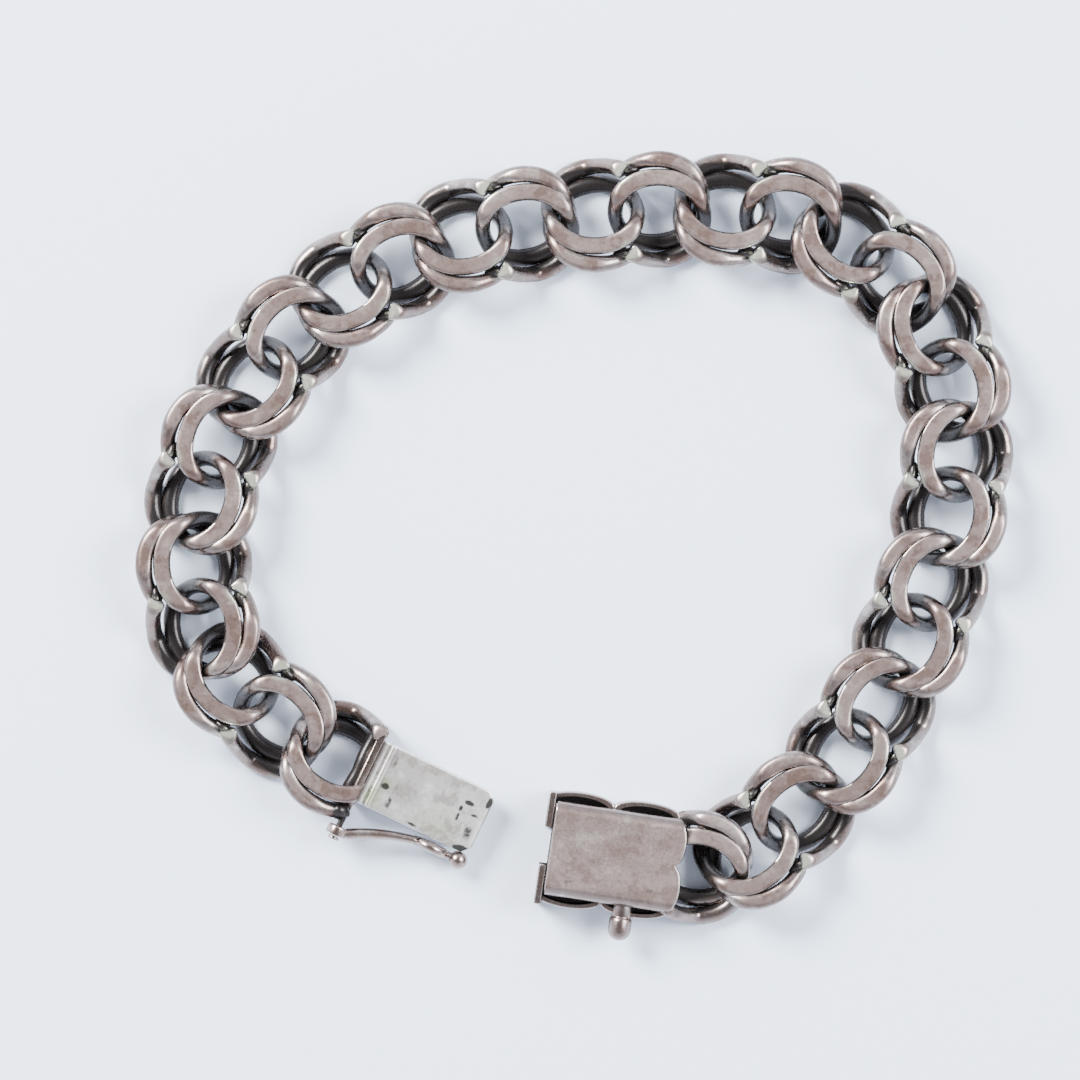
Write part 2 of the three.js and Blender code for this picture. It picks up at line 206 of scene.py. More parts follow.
def rolled(points, line):
    """Offsets from the line widen in x and y where it runs high or low, and z stays within the faces."""
    out = points.copy()
    wide = SPREAD * smoothstep((np.abs(line[:, 2]) - SPREAD_START) / SPREAD_DEPTH)
    out[..., :2] += wide[:, None, None] * (points - line[:, None])[..., :2]
    z = -ROLL_SOFTNESS * np.logaddexp(-out[..., 2] / ROLL_SOFTNESS, -FACE / ROLL_SOFTNESS)
    out[..., 2] = ROLL_SOFTNESS * np.logaddexp(z / ROLL_SOFTNESS, -FACE / ROLL_SOFTNESS)
    return out


def fused(name, pieces, cutters=()):
    """One closed body from several that overlap, with the cutters taken out of it."""
    base = pieces[0]
    for operation, others in (("UNION", pieces[1:]), ("DIFFERENCE", cutters)):
        for other in others:
            step = base.modifiers.new(operation.lower(), "BOOLEAN")
            step.operation = operation
            step.solver = "MANIFOLD"
            step.object = other
    bpy.context.view_layer.update()
    graph = bpy.context.evaluated_depsgraph_get()
    mesh = bpy.data.meshes.new_from_object(base.evaluated_get(graph))
    for piece in (*pieces, *cutters):
        bpy.data.objects.remove(piece)
    mesh.name = name
    made = bpy.data.objects.new(name, mesh)
    bpy.context.scene.collection.objects.link(made)
    return made


# %% [markdown]
# ## One coil, one link
# A coil crosses over itself, and a mesh that crosses itself can't be fused. So each coil is made as
# two stretches that overlap a little in the middle. The wire's cut ends keep a small rounding: the
# radius follows a quarter circle over the last fraction of a millimetre. A bead of solder
# fills the corner where two ends meet.

# %% Coils
COIL_AXIS = unit(np.array([0, COIL_HALF_HEIGHT, COIL_HALF_REACH]))
STEPS = 62
AROUND = 24
OVERLAP = 6.0
END_ROUND = 0.14
END_STEPS = (0.0, 0.25, 0.6, 1.2, 2.0, 3.2)


def coil_stretch(name, start, end, x=0.0, y=0.0, turn=0.0):
    """A rolled wire along the coil's line between two angles, turned about z and then moved."""
    extra = np.array(END_STEPS)
    middle = np.linspace(start + END_STEPS[-1] + 1, end - END_STEPS[-1] - 1, STEPS)
    line = coil_line(np.concatenate([start + extra, middle, (end - extra)[::-1]]))
    along = np.concatenate([[0], np.cumsum(np.linalg.norm(np.diff(line, axis=0), axis=1))])
    back = 1 - np.clip(np.minimum(along, along[-1] - along) / END_ROUND, 0, 1)
    radius = WIRE_RADIUS - END_ROUND * (1 - np.sqrt(1 - back ** 2))
    points = rolled(tube_points(line, radius, AROUND, COIL_AXIS), line)
    return ring_object(name, turned(points, turn) + np.array([x, y, 0]))


def coil(name, x=0.0, y=0.0, turn=0.0):
    """Both stretches of one coil, from end to end."""
    last = 720 - FIRST_ANGLE
    return [coil_stretch(f"{name}_a", FIRST_ANGLE, 360 + OVERLAP, x, y, turn),
            coil_stretch(f"{name}_b", 360 - OVERLAP, last, x, y, turn)]


half = SOLDER_SPACING / 2
JOINT = np.array([0.45, 3.6, 0.85])
BEAD = (1.1, 0.5, 0.7)
beads = [blob(f"bead_{n}", turned(JOINT, turn), BEAD) for n, turn in enumerate((0, 180))]
link_master = fused("link_master", coil("first", -half) + coil("second", half, 0, 180) + beads)
print("link faces:", len(link_master.data.polygons))

# %% [markdown]
# ## Where the grime gathers
# Tarnish stays dark where a cloth never reaches: inside the coils and where wires cross. Each
# point is shaded by the faces round it. A small face of area A at distance d hides about
# A cos(a) cos(b) / (pi d^2) of what the point sees, where a and b are the angles at the point and
# at the face. Wear does the opposite: it brightens what stands proud, so the curvature is kept too.

# %% Grime, wear and rolled faces
REACH = 5.0
FINE_FACE = 0.35
ROLLED_DEPTH = 0.16
DEEP_START = 0.9
DEEP_REACH = 1.8
DEEP_DARKENING = 0.25
DEEP_HIDDEN = 0.15
LEAST_BULGE = 1.6
BULGE_RANGE = 2.4
LEVEL = 0.9


def point_array(mesh, what="co"):
    """The mesh's points in millimetres, or its normals."""
    values = np.empty(len(mesh.vertices) * 3, np.float32)
    mesh.vertices.foreach_get(what, values)
    return values.reshape(-1, 3).astype(float) / (MM if what == "co" else 1)


def small_faces(mesh):
    """Centres, normals and areas of the mesh's triangles, split in four until they are small."""
    mesh.calc_loop_triangles()
    corner = np.empty(len(mesh.loop_triangles) * 3, np.int32)
    mesh.loop_triangles.foreach_get("vertices", corner)
    triangles = point_array(mesh)[corner.reshape(-1, 3)]
    for _ in range(6):
        across = np.cross(triangles[:, 1] - triangles[:, 0], triangles[:, 2] - triangles[:, 0])
        large = np.linalg.norm(across, axis=1) / 2 > FINE_FACE
        if not large.any():
            break
        a, b, c = triangles[large].transpose(1, 0, 2)
        ab, bc, ca = (a + b) / 2, (b + c) / 2, (c + a) / 2
        parts = [np.stack(t, 1) for t in ((a, ab, ca), (ab, b, bc), (ca, bc, c), (ab, bc, ca))]
        triangles = np.concatenate([triangles[~large], *parts])
    across = np.cross(triangles[:, 1] - triangles[:, 0], triangles[:, 2] - triangles[:, 0])
    return triangles.mean(1), unit(across), np.linalg.norm(across, axis=1) / 2


def gathered(centres, normals, areas, most=1500):
    """Every so many faces stands for those skipped, with its area grown to match."""
    step = max(1, len(centres) // most)
    return centres[::step], normals[::step], areas[::step] * areas.sum() / max(areas[::step].sum(), 1e-9)


def grime_at(points, normals, centres, facing, areas):
    """The share of each point's view that the faces hide."""
    grime = np.zeros(len(points))
    for part in np.array_split(np.arange(len(centres)), 24):
        reach = centres[part][None] - points[:, None]
        square = (reach ** 2).sum(-1)
        there = np.maximum((reach * normals[:, None]).sum(-1), 0)
        back = np.maximum(-(reach * facing[part][None]).sum(-1), 0)
        share = areas[part] * there * back / (square + 1e-6) / (math.pi * square + areas[part])
        grime += np.where(square < REACH ** 2, share, 0).sum(1)
    return np.clip(grime, 0, 1)


def bulge_at(mesh, points, normals):
    """Curvature in 1/mm: twice the mean of -(neighbour - point).normal / distance^2."""
    pairs = np.empty(len(mesh.edges) * 2, np.int32)
    mesh.edges.foreach_get("vertices", pairs)
    pairs = np.concatenate([pairs.reshape(-1, 2), pairs.reshape(-1, 2)[:, ::-1]])
    reach = points[pairs[:, 1]] - points[pairs[:, 0]]
    bend = -2 * (reach * normals[pairs[:, 0]]).sum(1) / np.maximum((reach ** 2).sum(1), 1e-4)
    total = np.bincount(pairs[:, 0], bend, len(points))
    return total / np.maximum(np.bincount(pairs[:, 0], minlength=len(points)), 1)


def set_points(mesh, points):
    """Moves the mesh's points to these, in millimetres."""
    mesh.vertices.foreach_set("co", (points * MM).astype(np.float32).ravel())
    mesh.update()


def near(points, places, reach, fade):
    """0 beyond the reach of every place, 1 well within it, and a smooth step between."""
    distance = np.linalg.norm(points[:, None] - np.asarray(places)[None], axis=2).min(1)
    return smoothstep((reach - distance) / fade)


def set_attribute(mesh, name, values):
    """One number for each point, which the materials read by its name."""
    attribute = mesh.attributes.get(name) or mesh.attributes.new(name, "FLOAT", "POINT")
    attribute.data.foreach_set("value", np.asarray(values, np.float32))


def weathered(made, *neighbours):
    """Writes grime, wear and rolled onto a piece; neighbours are sets of centres, normals and areas."""
    mesh = made.data
    points, normals = point_array(mesh), point_array(mesh, "normal")
    sets = [gathered(*small_faces(mesh)), *neighbours]
    grime = grime_at(points, normals, *(np.concatenate(parts) for parts in zip(*sets)))
    # Points low in the chain that are already partly hidden are made darker still.
    deep = smoothstep((DEEP_START - points[:, 2]) / DEEP_REACH) * smoothstep((grime - DEEP_HIDDEN) / 0.25)
    grime = np.clip(grime + DEEP_DARKENING * deep, 0, 1)
    # This value darkens the colour: tarnish where the view is hidden, and painted shade where a piece
    # adds it.
    set_attribute(mesh, "grime", grime)
    wear = smoothstep((bulge_at(mesh, points, normals) - LEAST_BULGE) / BULGE_RANGE)
    set_attribute(mesh, "wear", wear)
    level = smoothstep((np.abs(normals[:, 2]) - LEVEL) / 0.08)
    high = smoothstep((np.abs(points[:, 2]) - FACE + ROLLED_DEPTH) / (ROLLED_DEPTH / 2))
    set_attribute(mesh, "rolled", level * high)
    return points, grime, wear


def moved_faces(faces, x, y, turn):
    """Centres, normals and areas, turned about z and then moved."""
    centres, normals, areas = faces
    return turned(centres, turn) + np.array([x, y, 0]), turned(normals, turn), areas


LINK_STEP = 11.35
TIP = np.array([0.1, 3.45, 1.6])
CORNER = np.array([0.95, 3.55, 1.0])
own_faces = gathered(*small_faces(link_master.data))
neighbours = [moved_faces(own_faces, way * LINK_STEP, 0, 0) for way in (-1, 1)]
link_points, link_grime, link_wear = weathered(link_master, *neighbours)
own_side = smoothstep((0.8 - link_points[:, 0] * np.sign(link_points[:, 1])) / 0.25)
pale_tip = near(link_points, [turned(TIP, turn) for turn in (0, 180)], 1.25, 0.5)
set_attribute(link_master.data, "solder", pale_tip * own_side)
sooty = near(link_points, [turned(CORNER, turn) for turn in (0, 180)], 1.05, 0.4)
set_attribute(link_master.data, "grime", np.maximum(link_grime, 0.5 * sooty))
set_attribute(link_master.data, "wear", link_wear * (1 - sooty))
print("grime from", link_grime.min().round(2), "to", link_grime.max().round(2))

# %% [markdown]
# ## Silver that has been worn
# One recipe serves every piece: a metal whose colour goes from pale silver through brown-mauve
# tarnish to nearly black where the grime and the painted shade are deep. Soft patches and fine
# pits break it up, and proud edges are rubbed bright.

# %% Material helpers
def node(tree, kind, **values):
    """A shader node with these sockets and settings."""
    made = tree.nodes.new(kind)
    for key, value in values.items():
        if key in made.inputs:
            made.inputs[key].default_value = value
        else:
            setattr(made, key, value)
    return made


def connect(tree, socket, value):
    """Links the value to a socket, or sets it there."""
    if isinstance(value, bpy.types.NodeSocket):
        tree.links.new(value, socket)
    else:
        socket.default_value = value


def mixed(tree, factor, first, second):
    """first * (1 - factor) + second * factor, for colours."""
    made = tree.nodes.new("ShaderNodeMix")
    made.data_type = "RGBA"
    for socket, value in ((made.inputs[0], factor), (made.inputs[6], first), (made.inputs[7], second)):
        connect(tree, socket, (*value, 1) if isinstance(value, tuple) else value)
    return made.outputs[2]


def maths(tree, operation, first, second=0.5, third=0.0, clamp=False):
    """One calculation; MULTIPLY_ADD is first * second + third."""
    made = node(tree, "ShaderNodeMath", operation=operation, use_clamp=clamp)
    for socket, value in zip(made.inputs, (first, second, third)):
        connect(tree, socket, value)
    return made.outputs[0]


def between(tree, value, low, high):
    """0 at low, 1 at high, and a smooth step between."""
    made = node(tree, "ShaderNodeMapRange", interpolation_type="SMOOTHSTEP")
    connect(tree, made.inputs["Value"], value)
    made.inputs["From Min"].default_value = low
    made.inputs["From Max"].default_value = high
    return made.outputs["Result"]


# %% Worn silver
BROAD = 150.0
PATCHES = 420.0
MOTTLE = 1150.0
GRAIN = 4200.0
GREEN = (0.27, 0.33, 0.13)


def silver(name, face, body, pale, brown, dark, rough=(0.42, 0.26), grime_range=(0.20, 0.54),
           solder=None):
    """Worn silver: the rolled face's colour, the round wire's, rubbed edges, tarnish and grime."""
    material = bpy.data.materials.new(name)
    material.use_nodes = True
    tree = material.node_tree
    shader = tree.nodes["Principled BSDF"]
    where = node(tree, "ShaderNodeTexCoord").outputs["Object"]
    read = {key: node(tree, "ShaderNodeAttribute", attribute_name=key).outputs["Fac"]
            for key in ("grime", "wear", "rolled", "solder", "stain", "green")}

    def noise(scale, detail, roughness=0.55):
        """Soft noise in cells of 1 / scale metres."""
        made = node(tree, "ShaderNodeTexNoise", Scale=scale, Detail=detail, Roughness=roughness)
        tree.links.new(where, made.inputs["Vector"])
        return made.outputs["Fac"]

    def blotched(colour, driver, low, high, share, other):
        """Another colour mixed in as the driver goes from low to high."""
        amount = maths(tree, "MULTIPLY", between(tree, driver, low, high), share)
        return mixed(tree, amount, colour, other)

    broad, patches = noise(BROAD, 2.0), noise(PATCHES, 4.0, 0.65)
    mottle, grain = noise(MOTTLE, 4.0), noise(GRAIN, 4.0, 0.65)
    colour = mixed(tree, read["rolled"], body, face)
    colour = blotched(colour, broad, 0.40, 0.60, 0.45, brown)
    colour = blotched(colour, patches, 0.50, 0.60, 0.75, brown)
    colour = blotched(colour, patches, 0.45, 0.34, 0.38, pale)
    colour = blotched(colour, mottle, 0.55, 0.75, 0.22, pale)
    colour = blotched(colour, mottle, 0.42, 0.28, 0.22, dark)
    colour = mixed(tree, maths(tree, "MULTIPLY", read["green"], 0.8), colour, GREEN)
    rubbed = maths(tree, "MULTIPLY", read["wear"], 0.7)
    colour = mixed(tree, rubbed, colour, pale)
    if solder:
        colour = mixed(tree, maths(tree, "MULTIPLY", read["solder"], 0.8), colour, solder)
    pits = between(tree, maths(tree, "ADD", grain, maths(tree, "MULTIPLY", mottle, 0.4)), 0.49, 0.41)
    soot = maths(tree, "MULTIPLY_ADD", maths(tree, "SUBTRACT", mottle, 0.5), 0.2, read["grime"])
    soot = maths(tree, "MULTIPLY_ADD", maths(tree, "SUBTRACT", grain, 0.5), 0.1, soot)
    soot = maths(tree, "SUBTRACT", soot, maths(tree, "MULTIPLY", read["wear"], 0.08))
    depth = between(tree, soot, *grime_range)
    depth = maths(tree, "MAXIMUM", depth, maths(tree, "MULTIPLY", pits, 0.4))
    ragged = maths(tree, "MULTIPLY_ADD", maths(tree, "SUBTRACT", mottle, 0.5), 1.6, read["stain"])
    ragged = maths(tree, "MULTIPLY", between(tree, ragged, 0.2, 0.7), 0.97)
    depth = maths(tree, "MAXIMUM", depth, ragged)
    colour = mixed(tree, depth, colour, dark)
    tree.links.new(colour, shader.inputs["Base Color"])
    tree.links.new(maths(tree, "MULTIPLY_ADD", depth, -0.35, 1.0), shader.inputs["Metallic"])

    roughness = maths(tree, "MULTIPLY_ADD", read["rolled"], rough[0] - rough[1], rough[1])
    roughness = maths(tree, "MULTIPLY_ADD", maths(tree, "SUBTRACT", grain, 0.45), 0.25, roughness)
    roughness = maths(tree, "MULTIPLY_ADD", rubbed, -0.08, roughness, True)
    tree.links.new(roughness, shader.inputs["Roughness"])
    height = maths(tree, "MULTIPLY_ADD", mottle, 0.6, grain)
    bump = node(tree, "ShaderNodeBump", Strength=0.25, Distance=0.02 * MM)
    tree.links.new(height, bump.inputs["Height"])
    tree.links.new(bump.outputs["Normal"], shader.inputs["Normal"])
    return material


chain_silver = silver(
    "chain_silver", face=(0.305, 0.232, 0.21), body=(0.215, 0.18, 0.163), pale=(0.52, 0.45, 0.41),
    brown=(0.165, 0.105, 0.086), dark=(0.030, 0.025, 0.024), solder=(0.56, 0.56, 0.46))
box_silver = silver(
    "box_silver", face=(0.37, 0.29, 0.27), body=(0.24, 0.205, 0.19), pale=(0.56, 0.49, 0.45),
    brown=(0.24, 0.172, 0.15), dark=(0.045, 0.038, 0.036))
tongue_silver = silver(
    "tongue_silver", face=(0.66, 0.625, 0.59), body=(0.62, 0.59, 0.55), pale=(0.92, 0.91, 0.89),
    brown=(0.32, 0.285, 0.26), dark=(0.015, 0.014, 0.012), rough=(0.5, 0.45), grime_range=(0.3, 0.7))
arm_silver = silver(
    "arm_silver", face=(0.36, 0.29, 0.26), body=(0.36, 0.29, 0.26), pale=(0.82, 0.78, 0.74),
    brown=(0.28, 0.20, 0.165), dark=(0.05, 0.04, 0.038), rough=(0.3, 0.22))

# %% [markdown]
# ## Fourteen links
# A link looks the same when it is turned half round, so the middle of its box is its solder
# joint, and only its heading has to be said. The headings repeat those of the model.

# %% Place the links
HEADINGS = [139, 98, 73.5, 51, 28, 10.5, 5, -5, -37, -72.5, -97.5, -110, -123.5, -138.5]
SHARP_ANGLE = 50


def dressed(made, body, slot, material, *nodes):
    """Smooth shading with crisp edges, the finish, and the body the piece moves with; slot is not used.
    """
    made.data.shade_smooth()
    made.data.set_sharp_from_angle(angle=math.radians(SHARP_ANGLE))
    made.data.materials.clear()
    made.data.materials.append(material)
    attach(made, body)
    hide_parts(*nodes)
    return made


link_faces = []
for number, heading in enumerate(HEADINGS, 1):
    name = f"link_{number:02d}"
    low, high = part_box(name)
    middle = np.array((low + high) / 2) / MM
    mesh = link_master.data.copy()
    set_points(mesh, turned(link_points, heading) + middle)
    made = bpy.data.objects.new(f"{name}_wire", mesh)
    bpy.context.scene.collection.objects.link(made)
    link_faces.append(moved_faces(own_faces, middle[0], middle[1], heading))
    dressed(made, "bracelet", "chain_silver", chain_silver, name)
bpy.data.objects.remove(link_master)
print("links placed:", len(HEADINGS))

# %% [markdown]
# ## The clasp's two frames
# The tongue and the box each have a frame of their own: x points out of the tongue or into the
# box, y points to the wrist, and z is measured from the chain's middle. The hinge of the safety arm
# gives the tongue's frame, and the flat mount under the box gives the box's.

# %% The clasp's frames
BOX_HEADING = -8.5
MOUNT_IN_BOX = np.array([6.0, 0.1])

hinge = next(joint for joint in frame["joints"] if joint["name"] == "arm_hinge")
TONGUE_HEADING = math.degrees(math.atan2(hinge["axis"][0], -hinge["axis"][1]))
TONGUE_PLACE = np.array(hinge["pos_m"][:2]) / MM
mount = next(mount for mount in frame["record"]["mounts"] if mount["name"] == "box_underside")
BOX_PLACE = np.array(mount["pos_m"][:2]) / MM - turned(np.array([*MOUNT_IN_BOX, 0]), BOX_HEADING)[:2]
print("tongue", TONGUE_PLACE.round(2), round(TONGUE_HEADING, 2), "box", BOX_PLACE.round(2))


def settle(made, place, heading):
    """Moves a piece made in a clasp frame to its place in the bracelet."""
    points = turned(point_array(made.data), heading)
    set_points(made.data, points + np.array([*place, FACE]))
    return made


def faces_near(place, heading, *numbers):
    """The faces of some links, seen from a clasp frame."""
    found = []
    for number in numbers:
        centres, normals, areas = link_faces[number]
        local = turned(centres - np.array([*place, FACE]), -heading)
        found.append((local, turned(normals, -heading), areas))
    return found


# %% [markdown]
# ## Plates and sheets
# A plate is its outline carried up a small profile: the profile steps in at the bottom and at the
# top, so the edges are rounded. A sheet is a grid of middle points with half its thickness added on
# each side, and the thickness eases off at the rim in the same way.

# %% Plates and sheets
def rounded_profile(low, high, edge, steps=4):
    """(inset, z) pairs up a wall with a quarter circle at the bottom and the top."""
    angle = np.linspace(0, math.pi / 2, steps)
    inset, rise = edge * (1 - np.sin(angle)), edge * (1 - np.cos(angle))
    bottom = np.stack([inset, low + rise], axis=1)
    top = np.stack([inset[::-1], high - rise[::-1]], axis=1)
    flat = np.array([[edge * 1.5, low]]), np.array([[edge * 1.5, high]])
    return np.concatenate([flat[0], bottom, top, flat[1]])


def plate(name, outline, low, high, edge):
    """A closed outline of (x, y) points, anticlockwise, carried up the rounded profile."""
    outline = np.asarray(outline, float)
    along = unit(np.roll(outline, -1, axis=0) - outline)
    before = np.roll(along, 1, axis=0)
    inward = np.stack([-(along + before)[:, 1], (along + before)[:, 0]], axis=1)
    inward /= np.maximum((1 + (along * before).sum(1, keepdims=True)), 0.3)
    profile = rounded_profile(low, high, edge)
    points = np.empty((len(profile), len(outline), 3))
    points[..., :2] = outline[None] + profile[:, None, :1] * inward[None]
    points[..., 2] = profile[:, 1:]
    return ring_object(name, points, fans=False)


def rounded_box(name, x, y, z, edge, corner=None):
    """A block between two values on each axis, with its corners in plan and its edges rounded."""
    corner = corner or edge * 1.5
    arc = np.linspace(0, math.pi / 2, 4)
    ring = np.stack([np.cos(arc), np.sin(arc)], axis=1) * corner
    outline = []
    for quarter, (cx, cy) in enumerate(((x[1], y[1]), (x[0], y[1]), (x[0], y[0]), (x[1], y[0]))):
        c, s = round(math.cos(quarter * math.pi / 2)), round(math.sin(quarter * math.pi / 2))
        turned_ring = ring @ np.array([[c, s], [-s, c]])
        inset = np.array([corner if cx == x[0] else -corner, corner if cy == y[0] else -corner])
        outline.append(np.array([cx, cy]) + inset + turned_ring)
    return plate(name, np.concatenate(outline), z[0], z[1], edge)


def plain_block(name, x, y, z):
    """A block with square edges, for cutting."""
    corners = np.array([[x[0], y[0]], [x[1], y[0]], [x[1], y[1]], [x[0], y[1]]])
    points = np.stack([np.concatenate([corners, np.full((4, 1), level)], axis=1) for level in z])
    return ring_object(name, points, fans=False)


def toward_edges(low, high, count, edge):
    """Places from low to high, crowded within the rounded edge at both ends."""
    close = edge * np.array([0, 0.12, 0.35, 0.65])
    level = np.linspace(low + edge, high - edge, count)
    return np.concatenate([low + close, level, (high - close)[::-1]])


def sheet(name, middle, normal, thickness, edge, to_rim):
    """middle[row, column, 3] thickened both ways; to_rim is each point's distance from the rim."""
    back = 1 - np.clip(to_rim / edge, 0, 1)
    depth = thickness / 2 - np.minimum(edge, thickness / 2) * (1 - np.sqrt(1 - back ** 2))
    front = middle + normal * depth[..., None]
    rear = middle - normal * depth[..., None]
    rows, columns = middle.shape[:2]
    index = np.arange(rows * columns).reshape(rows, columns)
    rim = np.concatenate([index[0], index[1:, -1], index[-1, -2::-1], index[-2:0:-1, 0]])
    beyond = np.roll(rim, -1)
    faces = grid_faces(index, wrap_columns=False)
    faces += (np.array(grid_faces(index, wrap_columns=False)) + index.size)[:, ::-1].tolist()
    faces += np.stack([rim, beyond, beyond + index.size, rim + index.size], axis=1).tolist()
    return made_mesh(name, np.concatenate([front.reshape(-1, 3), rear.reshape(-1, 3)]), faces)


def lathe(profile, around):
    """[radius, y] pairs turned about the y axis; a first and last radius near 0 closes the ends."""
    profile = np.asarray(profile, float)
    turn = np.linspace(0, 2 * math.pi, around, endpoint=False)
    return np.stack([profile[:, :1] * np.cos(turn), np.repeat(profile[:, 1:], around, axis=1),
                     profile[:, :1] * np.sin(turn)], axis=-1)


def round_end(radius, start, length, steps=6):
    """[radius, y] pairs of a half ellipse that closes an end, from its rim to near its pole."""
    angle = np.linspace(0, 1.45, steps)
    return [[radius * math.cos(a), start + length * math.sin(a)] for a in angle]


# %% [markdown]
# ## The tongue's end plate
# The plate closes the chain's end. The last coil is cut and soldered to its back, the tongue's tab
# passes through its slot, and the hinge pin of the safety arm runs out from its outer end. Old
# solder and soot fill the corner between the coil and the plate, and the dark colour there is
# partly painted shade.

# %% Tongue end
PLATE_HALF = 0.325
PLATE_WRIST = 4.96
PLATE_OUTER = 2.6
PLATE_HALF_HEIGHT = 1.95
TAB_WRIST = 2.2
TAB_OUTER = 1.2
TONGUE_FLOOR = -0.55
TONGUE_SHEET = 0.35
SLOT_GAP = 0.1
PIN_HEIGHT = 0.5
PIN_RADIUS = 0.28
PIN_END = 6.2
PIN_HEAD = 0.5
AXIS_GAP = 0.02
TONGUE_COIL = (-2.87, 0.2, 0.0)
COIL_CUT = 0.42
KNUCKLE = (-0.6, -3.7, 0.35)
KNUCKLE_SIZE = (0.95, 0.85, 1.15)
SEAM_REACH = (-2.5, 3.5)
SEAM_BEHIND = 0.6
SEAM_HEIGHT = 1.05
SEAM_RADIUS = 0.56

end_plate = rounded_box("end_plate", (-PLATE_HALF, PLATE_HALF), (-PLATE_OUTER, PLATE_WRIST - 0.3),
                        (-PLATE_HALF_HEIGHT, PLATE_HALF_HEIGHT), 0.1, 0.15)
round_off = np.linspace(0, 1.57, 4)
pin_profile = [
    [AXIS_GAP, -PIN_END],
    *[[PIN_HEAD - 0.1 + 0.1 * math.sin(a), -PIN_END + 0.1 - 0.1 * math.cos(a)] for a in round_off],
    [PIN_HEAD, -PIN_END + 0.2],
    [PIN_HEAD - 0.05, -PIN_END + 0.25],
    [PIN_RADIUS, -PIN_END + 0.25],
    [PIN_RADIUS, -PLATE_OUTER - 0.3],
    [PIN_RADIUS + 0.12, -PLATE_OUTER - 0.02],
    [PIN_RADIUS + 0.12, -PLATE_OUTER + 0.2],
    [AXIS_GAP, -PLATE_OUTER + 0.2],
]
pin = ring_object("pin", lathe(pin_profile, 20) + np.array([0, 0, PIN_HEIGHT]))
seam_y = np.linspace(*SEAM_REACH, 30)
seam_x = -SEAM_BEHIND - 0.1 * np.sin(seam_y * 0.8) ** 2
seam_z = SEAM_HEIGHT + 0.1 * np.cos(seam_y * 0.9)
seam_line = np.stack([seam_x, seam_y, seam_z], axis=1)
seam_radius = SEAM_RADIUS + 0.05 * np.sin(seam_y * 1.3) ** 2
seam = ring_object("seam", tube_points(seam_line, seam_radius, 16, np.array([0, 0, 1.0])))
knuckle = blob("knuckle", KNUCKLE, KNUCKLE_SIZE)
slot = plain_block("slot", (-1.6, PLATE_HALF + 0.4), (-TAB_OUTER - SLOT_GAP, TAB_WRIST + SLOT_GAP),
                   (TONGUE_FLOOR - SLOT_GAP, TONGUE_FLOOR + TONGUE_SHEET + SLOT_GAP))
beyond = plain_block("beyond", (COIL_CUT, 6.0), (-8, 8), (-4, 4))
tongue_coil = fused("tongue_coil", coil("tongue_coil", *TONGUE_COIL), [beyond])
tongue_end = fused("tongue_end_plate", [end_plate, pin, tongue_coil, seam, knuckle], [slot])
end_points, end_grime, end_wear = weathered(tongue_end, *faces_near(TONGUE_PLACE, TONGUE_HEADING, 0))
px, py, pz = end_points.T
# The strip behind the plate, with the seam and the coil's ends there, is painted dark: partly old solder,
# partly painted shade.
behind_plate = smoothstep((-PLATE_HALF + 0.02 - px) / 0.06) * smoothstep((px + 1.5) / 0.4)
between_strands = smoothstep((3.9 - np.abs(py)) / 0.5) * smoothstep((1.92 - pz) / 0.1)
solder_and_shade_strip = behind_plate * between_strands
soot_knot = smoothstep(1.6 - np.linalg.norm((end_points - KNUCKLE) / (1.0, 0.95, 1.25), axis=1))
sooty = np.maximum(solder_and_shade_strip, soot_knot)
set_attribute(tongue_end.data, "grime", np.maximum(end_grime, 0.8 * sooty))
set_attribute(tongue_end.data, "wear", end_wear * (1 - sooty))
print("tongue end faces:", len(tongue_end.data.polygons))
settle(tongue_end, TONGUE_PLACE, TONGUE_HEADING)
dressed(tongue_end, "bracelet", "chain_silver", chain_silver, "tongue_end")

# %% [markdown]
# ## The spring tongue
# The tongue is one strip folded back on itself. Its middle line runs out along the floor, round the
# fold and back up the slope to the plate, where two ridges give a thumbnail its hold. The strip's
# tip has cut corners, so each row's width comes from how far out the row lies.

# %% Spring tongue
TONGUE_LENGTH = 11.22
TONGUE_WRIST = 3.48
TONGUE_OUTER = 2.39
TONGUE_CORNER = 0.75
TONGUE_RISE = 1.25
RIDGE_STEP = 0.75
RIDGE_HEIGHT = 0.2
RIDGE_WIDTH = 0.2

leaf_half = TONGUE_SHEET / 2
fold_x = TONGUE_LENGTH - TONGUE_SHEET
gap_x = PLATE_HALF + SLOT_GAP
leaf_start = TONGUE_FLOOR + TONGUE_SHEET + leaf_half
leaf_slope = (TONGUE_RISE - TONGUE_FLOOR - 2 * TONGUE_SHEET) / (fold_x - RIDGE_STEP)
lower_x = toward_edges(-PLATE_HALF, fold_x, 40, 0.1)
upper_x = np.concatenate([np.linspace(fold_x, 2.6, 70), np.linspace(2.55, gap_x, 60)])
turn_angle = np.linspace(-math.pi / 2, math.pi / 2, 9)[1:-1]
fold = np.stack([fold_x + leaf_half * np.cos(turn_angle),
                 TONGUE_FLOOR + TONGUE_SHEET + leaf_half * np.sin(turn_angle)], axis=1)
ridge = sum(np.exp(-((upper_x - gap_x - 0.22 - n * RIDGE_STEP) / RIDGE_WIDTH) ** 4) for n in (0, 1))
lower = np.stack([lower_x, np.full_like(lower_x, TONGUE_FLOOR + leaf_half)], axis=1)
upper = np.stack([upper_x, leaf_start + (fold_x - upper_x) * leaf_slope + RIDGE_HEIGHT * ridge], axis=1)
strip = np.concatenate([lower, fold, upper])
ahead = unit(np.gradient(strip, axis=0))
strip_normal = np.stack([ahead[:, 1], 0 * ahead[:, 0], -ahead[:, 0]], axis=1)
cut = np.clip(strip[:, 0] - (TONGUE_LENGTH - TONGUE_CORNER), 0, None)
